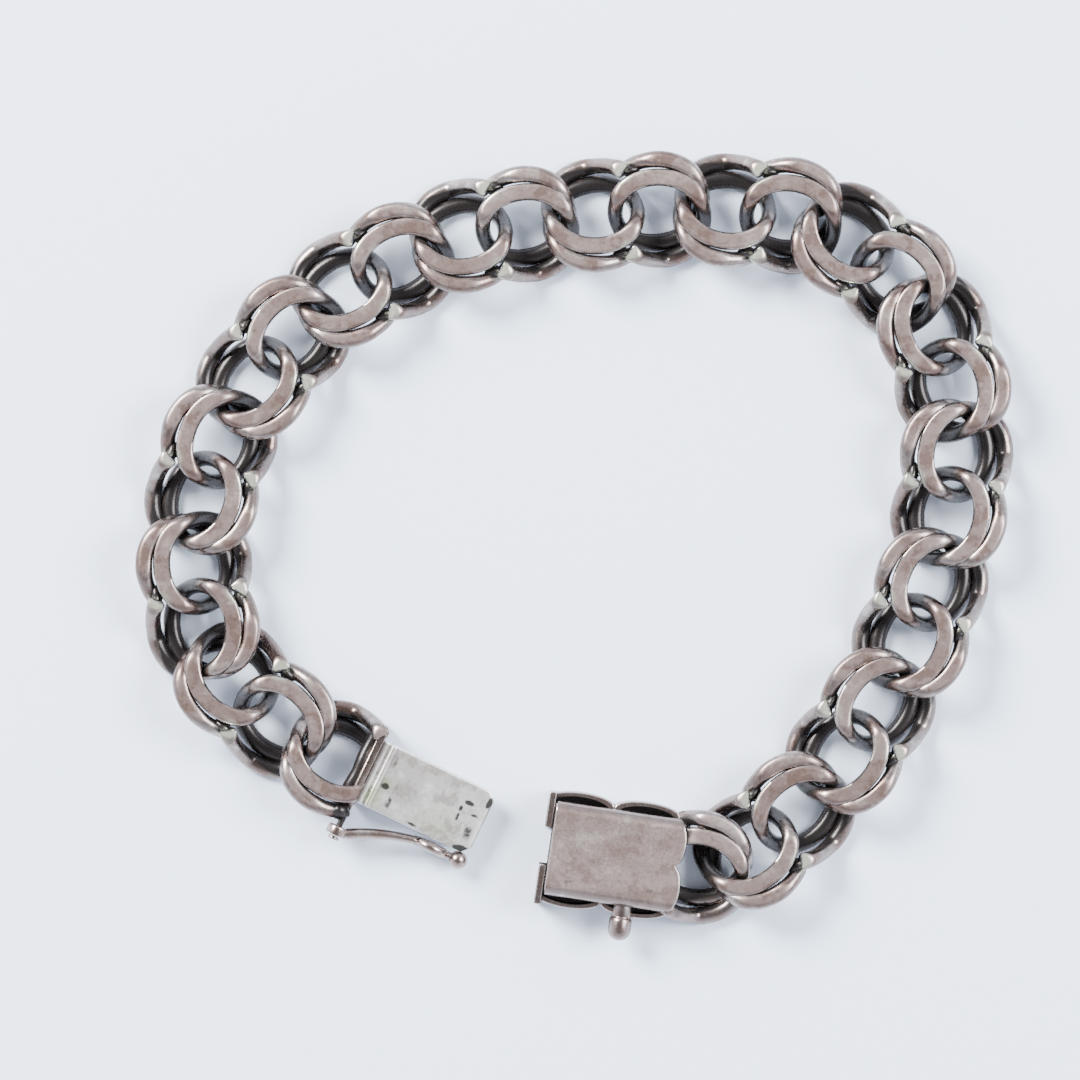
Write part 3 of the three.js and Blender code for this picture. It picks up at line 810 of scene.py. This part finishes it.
narrow = smoothstep((gap_x + 0.02 - strip[:, 0]) / 0.04) * (np.arange(len(strip)) < len(lower))
wrist = np.where(narrow > 0.5, TAB_WRIST, TONGUE_WRIST - cut)
outer = np.where(narrow > 0.5, TAB_OUTER, TONGUE_OUTER - cut)
across = toward_edges(0, 1, 48, 0.04)
strip_y = -outer[:, None] + (outer + wrist)[:, None] * across[None]
middle = np.stack([np.broadcast_to(strip[:, :1], strip_y.shape), strip_y,
                   np.broadcast_to(strip[:, 1:], strip_y.shape)], axis=-1)
run = np.concatenate([[0], np.cumsum(np.linalg.norm(np.diff(strip, axis=0), axis=1))])
to_side = np.minimum(across, 1 - across)[None] * (outer + wrist)[:, None]
to_rim = np.minimum(to_side, np.minimum(run, run[-1] - run)[:, None])
tongue = sheet("tongue_strip", middle, np.broadcast_to(strip_normal[:, None], middle.shape),
               TONGUE_SHEET, 0.12, to_rim)

# %% [markdown]
# The tongue's stains sit where old solder, polish and handling left them, so each is a named spot on
# the leaf: its middle, how far it reaches along and across, and how strong it is.

# %% Stains on the tongue
DARK_SPOTS = [
    {"x": 9.35, "y": 1.75, "along": 0.50, "across": 0.24, "depth": 0.99},
    {"x": 8.85, "y": 1.05, "along": 0.19, "across": 0.26, "depth": 0.77},
    {"x": 8.9, "y": 0.3, "along": 0.19, "across": 0.42, "depth": 0.66},
    {"x": 9.9, "y": 0.95, "along": 0.72, "across": 0.17, "depth": 0.61},
    {"x": 10.3, "y": -0.75, "along": 0.50, "across": 0.90, "depth": 0.66},
    {"x": 10.9, "y": 2.5, "along": 0.24, "across": 0.60, "depth": 0.88},
    {"x": 2.1, "y": -0.1, "along": 0.40, "across": 0.36, "depth": 0.94},
    {"x": 2.0, "y": 2.1, "along": 0.24, "across": 0.96, "depth": 0.39},
    {"x": 3.0, "y": -0.1, "along": 0.30, "across": 1.08, "depth": 0.44},
    {"x": 2.9, "y": -1.3, "along": 0.36, "across": 0.60, "depth": 0.50},
    {"x": 5.6, "y": -2.05, "along": 0.60, "across": 0.14, "depth": 0.72},
    {"x": 10.4, "y": -2.2, "along": 0.84, "across": 0.42, "depth": 0.88},
]
GREEN_SPOTS = [
    {"x": 1.5, "y": -1.3, "along": 0.8, "across": 1.0, "depth": 0.8},
    {"x": 2.1, "y": 0.2, "along": 0.5, "across": 0.6, "depth": 0.6},
    {"x": 7.5, "y": -0.9, "along": 1.6, "across": 1.3, "depth": 0.25},
]


def spots(points, table):
    """The sum of soft ovals, each exp(-((dx / along)^2 + (dy / across)^2)^2) times its depth."""
    total = np.zeros(len(points))
    for spot in table:
        dx, dy = (points[:, 0] - spot["x"]) / spot["along"], (points[:, 1] - spot["y"]) / spot["across"]
        total += spot["depth"] * np.exp(-(dx ** 2 + dy ** 2) ** 2)
    return np.clip(total, 0, 1)


leaf_points, *_ = weathered(tongue)
on_top = smoothstep(point_array(tongue.data, "normal")[:, 2] / 0.4)
set_attribute(tongue.data, "stain", spots(leaf_points, DARK_SPOTS) * on_top)
set_attribute(tongue.data, "green", spots(leaf_points, GREEN_SPOTS) * on_top)
print("tongue faces:", len(tongue.data.polygons))
settle(tongue, TONGUE_PLACE, TONGUE_HEADING)
dressed(tongue, "bracelet", "tongue_silver", tongue_silver, "spring_tongue")

# %% [markdown]
# ## The safety arm
# The arm turns on the pin: an eye, a shank that leans in beside the tongue, a loop that snaps over
# the post, and a ball to lift it by. It is drawn about its own pin and tipped down a little, as it
# rests beside the tongue.

# %% Safety arm
EYE_BORE = PIN_RADIUS + 0.09
EYE_RADIUS = 0.9
EYE_OUTER = -PIN_END + 0.25 + 0.08
EYE_INNER = EYE_OUTER + 0.9
ARM_RADIUS = 0.38
ARM_SIDE = 3.15
LOOP_RADIUS = 1.3
LOOP_REACH = 8.04
BALL_RADIUS = 0.81
BALL_REACH = 10.66
REST_ANGLE = 6.4
BEND_ALONG = [0, 0.22, 0.54, 0.76, 1]
BEND_INWARD = [0, 0.31, 0.67, 0.84, 1]

soft = 0.14
arc = np.linspace(0, math.pi / 2, 4)
outer_edge = [[EYE_RADIUS - soft * (1 - math.sin(a)), EYE_OUTER + soft * (1 - math.cos(a))] for a in arc]
inner_edge = [[EYE_RADIUS - soft * (1 - math.cos(a)), EYE_INNER - soft * (1 - math.sin(a))] for a in arc]
eye_profile = [[EYE_BORE, EYE_OUTER], *outer_edge, *inner_edge, [EYE_BORE, EYE_INNER]]
eye_ring = ring_object("eye_ring", lathe(eye_profile, 32), wrap_rows=True)

loop_start = LOOP_REACH - LOOP_RADIUS
share = np.linspace(0, 1, 40)
shank_start = EYE_RADIUS - ARM_RADIUS / 2
eye_middle = (EYE_OUTER + EYE_INNER) / 2
bend = np.polyval(np.polyfit(BEND_ALONG, BEND_INWARD, 3), share)
shank_line = np.stack([shank_start + (loop_start - shank_start) * share,
                       eye_middle + (-ARM_SIDE - eye_middle) * bend, 0 * share], axis=1)
shank = ring_object("shank", tube_points(shank_line, ARM_RADIUS * (1.32 - 0.34 * share), 18,
                                         np.array([0, 0, 1.0]), flatten=1.12))
turn = np.linspace(0, 2 * math.pi, 48, endpoint=False)
loop_line = np.stack([LOOP_REACH + LOOP_RADIUS * np.cos(turn), np.full_like(turn, -ARM_SIDE),
                      LOOP_RADIUS * np.sin(turn)], axis=1)
across_turn = np.linspace(0, 2 * math.pi, 16, endpoint=False)
outward = np.stack([np.cos(turn), 0 * turn, np.sin(turn)], axis=1)
loop_out = ARM_RADIUS * 0.95 * np.cos(across_turn)[None, :, None] * outward[:, None]
loop_side = ARM_RADIUS * 1.05 * np.sin(across_turn)[None, :, None] * np.array([0, 1.0, 0])
loop_points = loop_line[:, None] + loop_out + loop_side
loop = ring_object("loop", loop_points, wrap_rows=True)
neck_x = np.linspace(LOOP_REACH + LOOP_RADIUS, BALL_REACH, 8)
neck_line = np.stack([neck_x, np.full(8, -ARM_SIDE), np.zeros(8)], axis=1)
neck = ring_object("neck", tube_points(neck_line, ARM_RADIUS * 0.9, 16, np.array([0, 0, 1.0])))
ball = blob("ball", (BALL_REACH, -ARM_SIDE, 0), (BALL_RADIUS,) * 3, 20, 28)
collar = blob("collar", (loop_start, -ARM_SIDE - 0.03, 0), (0.85, 0.41, 0.44))
arm = fused("arm_wire", [eye_ring, shank, collar, loop, neck, ball])
c, s = math.cos(math.radians(REST_ANGLE)), math.sin(math.radians(REST_ANGLE))
tipped = point_array(arm.data) @ np.array([[c, 0, -s], [0, 1, 0], [s, 0, c]])
set_points(arm.data, tipped + [0, 0, PIN_HEIGHT])
weathered(arm)
print("arm faces:", len(arm.data.polygons))
settle(arm, TONGUE_PLACE, TONGUE_HEADING)
dressed(arm, "arm", "arm_silver", arm_silver, "safety_arm")

# %% [markdown]
# ## The clasp box
# The box is a tray whose side walls bulge in two lobes a side, like the edge of the chain. A top
# sheet with rounded long edges is soldered over it, two cheeks stand at the mouth with the gap
# for the tongue between them, and the chain's last coil grows out of the far end.

# %% Clasp box: tray and walls
BOX_LENGTH = 12.38
BOX_WRIST = 4.0
BOX_OUTER = 3.74
BOX_SHEET = 0.6
BOX_WALL = 0.4
END_DIP = 0.83
MOUTH_GAP = 0.7
CHEEK = 0.62
CHEEK_OUTER = 4.87
CHEEK_HEIGHTS = (-FACE, PLATE_HALF_HEIGHT)
WALL_HEIGHTS = (-1.9, 1.85)
WAY_WRIST = 3.63
WAY_OUTER = 2.54
LOBE_LENGTH = 5.75
LOBE_DEPTH = 0.85
LOBE_WALL = 0.38
LOBE_TOP = 0.9
LOBE_WRIST = 4.37
LOBE_OUTER = 4.05
NOTCH_WRIST = 1.83
NOTCH_OUTER = 1.39
BOX_COIL = (13.88, 0.28, 181.5)
POST_X = LOOP_REACH - PLATE_HALF
BOX_STAINS = [
    {"x": 2.9, "y": -2.6, "along": 0.75, "across": 0.28, "depth": 0.4},
    {"x": 11.2, "y": -1.2, "along": 0.3, "across": 1.6, "depth": 0.25},
    {"x": 6.4, "y": 3.3, "along": 2.2, "across": 0.3, "depth": 0.2},
]


def lobed_outline(inset):
    """Straight across both ends, two half ellipses along each side, anticlockwise."""
    angle = np.linspace(math.pi, 2 * math.pi, 25)
    radius = LOBE_LENGTH / 2 - inset
    middles = np.array([LOBE_LENGTH * 0.5, LOBE_LENGTH * 1.5])
    lower = [np.stack([m + radius * np.cos(angle), -LOBE_OUTER + inset + LOBE_DEPTH * np.sin(angle)], 1)
             for m in middles]
    upper = [np.stack([m - radius * np.cos(angle), LOBE_WRIST - inset - LOBE_DEPTH * np.sin(angle)], 1)
             for m in middles[::-1]]
    return np.concatenate(lower + upper)


far_end = BOX_LENGTH - END_DIP
tray = plate("tray", lobed_outline(0.0), -FACE, LOBE_TOP, 0.12)
tray_hollow = plate("tray_hollow", lobed_outline(LOBE_WALL), -FACE + BOX_SHEET, FACE, 0.05)
tray = fused("tray", [tray], [tray_hollow])
walls = [
    rounded_box("wall_outer", (0.05, far_end), (-WAY_OUTER - BOX_WALL, -WAY_OUTER), WALL_HEIGHTS, 0.06),
    rounded_box("wall_wrist", (0.05, far_end), (WAY_WRIST, WAY_WRIST + BOX_WALL), WALL_HEIGHTS, 0.06),
    rounded_box("wall_end", (far_end - BOX_WALL, far_end), (-BOX_OUTER + BOX_WALL, BOX_WRIST - BOX_WALL),
                WALL_HEIGHTS, 0.06),
    rounded_box("cheek_outer", (0.0, CHEEK), (-CHEEK_OUTER, -NOTCH_OUTER), CHEEK_HEIGHTS, 0.1, 0.14),
    rounded_box("cheek_wrist", (0.0, CHEEK), (NOTCH_WRIST, PLATE_WRIST), CHEEK_HEIGHTS, 0.1, 0.14),
]

# %% [markdown]
# The top sheet is a grid across and along the box. Across, it is level and then falls over a
# quarter ellipse at each long edge. Along, its far end follows two shallow bulges that meet in a
# notch, and worn, slightly dished metal shows between the edges.

# %% Clasp box: top sheet, post and coil
EDGE_REACH = 0.62
EDGE_DROP = 0.75
half_way = (BOX_WRIST - BOX_OUTER) / 2
half_bulge = (BOX_WRIST + BOX_OUTER) / 4


def far_edge(y):
    """The bulges: x = start + dip * sqrt(1 - (distance from the bulge's middle / half its width)^2)."""
    off = np.minimum(np.abs(y - half_way - half_bulge), np.abs(y - half_way + half_bulge)) / half_bulge
    return far_end + END_DIP * np.sqrt(np.clip(1 - off ** 2, 0, 1))


fall = np.linspace(0, math.pi / 2, 7)
level = np.linspace(-BOX_OUTER + EDGE_REACH, BOX_WRIST - EDGE_REACH, 50)
top_y = np.concatenate([-BOX_OUTER + EDGE_REACH * (1 - np.cos(fall[:-1])), level,
                        (BOX_WRIST - EDGE_REACH * (1 - np.cos(fall[:-1])))[::-1]])
edge_fall = EDGE_DROP * (1 - np.sin(fall[:-1]))
drop = np.concatenate([edge_fall, 0 * level, edge_fall[::-1]])
top_u = toward_edges(0, 1, 70, 0.02)
end_x = far_edge(top_y)
top_x = MOUTH_GAP + (end_x[None] - MOUTH_GAP) * top_u[:, None]
half_sheet = BOX_SHEET / 2
dish = 0.05 * np.sin(math.pi * top_u)[:, None] * smoothstep((EDGE_DROP - drop) / EDGE_DROP)[None]
top_z = FACE - half_sheet - drop[None] - dish * 0.6
profile_slope = unit(np.stack([np.gradient(top_y), -np.gradient(drop)], axis=1))
sheet_normal = np.stack([0 * top_y, -profile_slope[:, 1], profile_slope[:, 0]], axis=1)
middle = np.stack(np.broadcast_arrays(top_x, top_y, top_z), axis=-1)
length = (end_x - MOUTH_GAP)[None]
to_rim = np.minimum(top_u, 1 - top_u)[:, None] * length
width_run = np.concatenate([[0], np.cumsum(np.hypot(np.diff(top_y), np.diff(drop)))])
to_rim = np.minimum(to_rim, np.minimum(width_run, width_run[-1] - width_run)[None])
top = sheet("top", middle, np.broadcast_to(sheet_normal, middle.shape), BOX_SHEET, 0.16, to_rim)

KNOB_START = 5.05
KNOB_RADIUS = 1.0
COIL_DIVE = 0.42
COIL_DIVE_START = 13.2
SOOTY_CORNERS = [[12.1, 3.85, 1.2], [12.3, -3.6, 0.8], [11.9, 3.2, 1.8]]
knob_cap = [[radius, -y] for radius, y in round_end(KNOB_RADIUS, KNOB_START + 1.0, 1.0)[1:]]
post_profile = [
    [AXIS_GAP, -WAY_OUTER - 0.1],
    [0.9, -WAY_OUTER - 0.1],
    [0.9, -LOBE_OUTER - 0.75],
    [0.86, -LOBE_OUTER - 0.85],
    [0.85, -KNOB_START + 0.06],
    [0.9, -KNOB_START],
    [0.97, -KNOB_START - 0.1],
    [KNOB_RADIUS, -KNOB_START - 0.3],
    [KNOB_RADIUS, -KNOB_START - 1.0],
    *knob_cap,
]
post = ring_object("post", lathe(post_profile, 28) + np.array([POST_X, 0, PIN_HEIGHT]))
before = plain_block("before", (4.0, far_end - BOX_WALL / 2), (-8, 8), (-4, 4))
box_wires = coil("box_coil", *BOX_COIL)
for wire in box_wires:
    wire_points = point_array(wire.data)
    dive = COIL_DIVE * smoothstep((COIL_DIVE_START - wire_points[:, 0]) / 1.4)
    wire_points[:, 2] -= dive * (wire_points[:, 2] > 0.8)
    set_points(wire.data, wire_points)
box_coil = fused("box_coil", box_wires, [before])
seam_lower = blob("seam_lower", (far_end - 0.1, -3.7, 0.2), (0.9, 0.7, 1.0))
seam_upper = blob("seam_upper", (far_end + 0.2, 3.6, 0.3), (0.8, 0.75, 0.9))
way = plain_block("way", (-0.5, far_end - BOX_WALL), (-WAY_OUTER, WAY_WRIST),
                  (-FACE + BOX_SHEET, FACE - BOX_SHEET))
mouth = plain_block("mouth", (-0.5, CHEEK + 0.02), (-NOTCH_OUTER, NOTCH_WRIST), (-FACE - 1, FACE + 1))
box_pieces = [tray, *walls, top, post, box_coil, seam_lower, seam_upper]
clasp_box = fused("clasp_box_body", box_pieces, [way, mouth])
box_points, box_grime, box_wear = weathered(clasp_box, *faces_near(BOX_PLACE, BOX_HEADING, 13))
box_x, box_y, box_z = box_points.T
lobes = smoothstep((-BOX_OUTER - box_y) / 0.15) + smoothstep((box_y - BOX_WRIST) / 0.15)
lobes *= smoothstep((LOBE_TOP + 0.4 - box_z) / 0.2) * smoothstep((11.9 - box_x) / 0.3)
cheeks = smoothstep((CHEEK + 0.04 - box_x) / 0.03) * smoothstep((box_x - 0.15) / 0.6)
sooty = near(box_points, SOOTY_CORNERS, 1.5, 0.9) * (1 - smoothstep((box_z - FACE + 0.1) / 0.05))
grime = np.clip(box_grime - 0.12 * lobes + 0.45 * cheeks + 0.35 * sooty, 0, 1)
set_attribute(clasp_box.data, "grime", grime)
set_attribute(clasp_box.data, "wear", box_wear * (1 - sooty) * (1 - 0.7 * cheeks))
set_attribute(clasp_box.data, "stain", spots(box_points, BOX_STAINS) * (box_z > FACE - 0.2))
print("box faces:", len(clasp_box.data.polygons))
settle(clasp_box, BOX_PLACE, BOX_HEADING)
dressed(clasp_box, "bracelet", "box_silver", box_silver, "clasp_box")

# %% [markdown]
# ## Floor, light and camera
# The bracelet lies on a pale table in soft daylight that comes from all round, a little less from
# straight above, where the camera is. The camera looks down from a long way off, with the middle
# of its frame a little left of the bracelet's middle.

# %% Floor and light
FLOOR_HALF = 1.5


def plain_material(name, colour, rough):
    """One even colour and roughness."""
    material = bpy.data.materials.new(name)
    material.use_nodes = True
    shader = material.node_tree.nodes["Principled BSDF"]
    shader.inputs["Base Color"].default_value = (*colour, 1)
    shader.inputs["Roughness"].default_value = rough
    return material


u, v = np.meshgrid(np.linspace(-1, 1, 9), np.linspace(-1, 1, 9), indexing="ij")
floor_points = np.stack([u * FLOOR_HALF, v * FLOOR_HALF, 0 * u - 0.0001], axis=-1)
floor_mesh = bpy.data.meshes.new("floor")
cells = np.arange(81).reshape(9, 9)
floor_mesh.from_pydata(floor_points.reshape(-1, 3).tolist(), [], grid_faces(cells, wrap_columns=False))
floor = bpy.data.objects.new("floor", floor_mesh)
floor.data.materials.append(plain_material("pale_table", (0.81, 0.88, 1.0), 0.5))
bpy.context.scene.collection.objects.link(floor)
floor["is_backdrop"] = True

world = bpy.data.worlds.new("soft_room")
world.use_nodes = True
sky = world.node_tree
background = sky.nodes["Background"]
height = node(sky, "ShaderNodeSeparateXYZ")
sky.links.new(node(sky, "ShaderNodeTexCoord").outputs["Generated"], height.inputs[0])
overhead = between(sky, height.outputs["Z"], 0.35, 0.98)
sky.links.new(mixed(sky, overhead, (1.9, 2.03, 2.4), (0.38, 0.38, 0.40)), background.inputs["Color"])
background.inputs["Strength"].default_value = 1.0
bpy.context.scene.world = world


def soft_light(name, place, size, power, colour):
    """A lamp at a place in metres."""
    light = bpy.data.lights.new(name, "AREA")
    light.shape = "DISK"
    light.size = size
    light.energy = power
    light.color = colour
    made = bpy.data.objects.new(name, light)
    made.location = place
    made.rotation_euler = (-Vector(place)).to_track_quat("-Z", "Y").to_euler()
    bpy.context.scene.collection.objects.link(made)


soft_light("window", (-0.45, 0.4, 0.5), 0.35, 22.0, (0.97, 0.99, 1.0))
soft_light("fill", (0.5, 0.1, 0.5), 0.4, 10.0, (0.9, 0.95, 1.0))

# %% Camera
FRAME_WIDTH = 1080 * 0.087 * MM
CAMERA_DISTANCE = 7000 * 0.087 * MM
FRAME_MIDDLE = (-3.080 * MM, 0.583 * MM)
camera = bpy.data.cameras.new("overhead")
camera.sensor_width = 36
camera.lens = 36 * CAMERA_DISTANCE / FRAME_WIDTH
camera.clip_start = 0.01
eye = bpy.data.objects.new("overhead", camera)
eye.location = (*FRAME_MIDDLE, FACE * MM + CAMERA_DISTANCE)
bpy.context.scene.collection.objects.link(eye)
bpy.context.scene.camera = eye

# %% Sizes and the end
low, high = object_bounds()
print("visual box in mm:", [round(v / MM, 2) for v in (*low, *high)])
